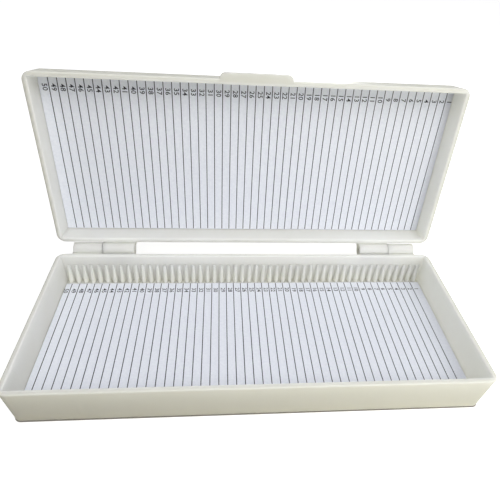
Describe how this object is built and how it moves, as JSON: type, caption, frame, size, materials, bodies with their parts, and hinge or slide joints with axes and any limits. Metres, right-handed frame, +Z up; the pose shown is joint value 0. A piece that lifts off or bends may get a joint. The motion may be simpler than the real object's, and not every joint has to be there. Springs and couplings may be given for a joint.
{
  "type": "hinged microscope slide storage box",
  "caption": "Shallow hinged plastic box, open, with ribbed slots for glass slides and a ruled numbered paper card in both halves.",
  "frame": {"origin": "centre of the flat underside of the tray", "axes": "+X along the box's length towards the low place numbers, +Y towards the hinges, +Z up"},
  "size_m": [0.202, 0.1117, 0.1109],
  "materials": {
    "tray_plastic": "milky white moulded plastic, satin",
    "lid_plastic": "milky white moulded plastic, satin",
    "printed_card": "uncoated white card, printed with thin rules and numbers",
    "tape": "thin double-sided tape",
    "pin_steel": "drawn wire, bright"
  },
  "bodies": {
    "tray": {"tray_shell": "tray_plastic", "rear_slot_ribs": "tray_plastic", "front_slot_ribs": "tray_plastic", "tray_index_card": "printed_card", "hinge_pin_left": "pin_steel", "hinge_pin_right": "pin_steel"},
    "lid": {"lid_shell": "lid_plastic", "lid_index_card": "printed_card", "lid_card_tape": "tape"}
  },
  "joints": [
    {"name": "lid_hinge", "type": "hinge", "parent": "tray", "child": "lid", "pos_m": [0, 0.046, 0.0209], "axis": [1, 0, 0], "range_deg": [0, 97]}
  ]
}
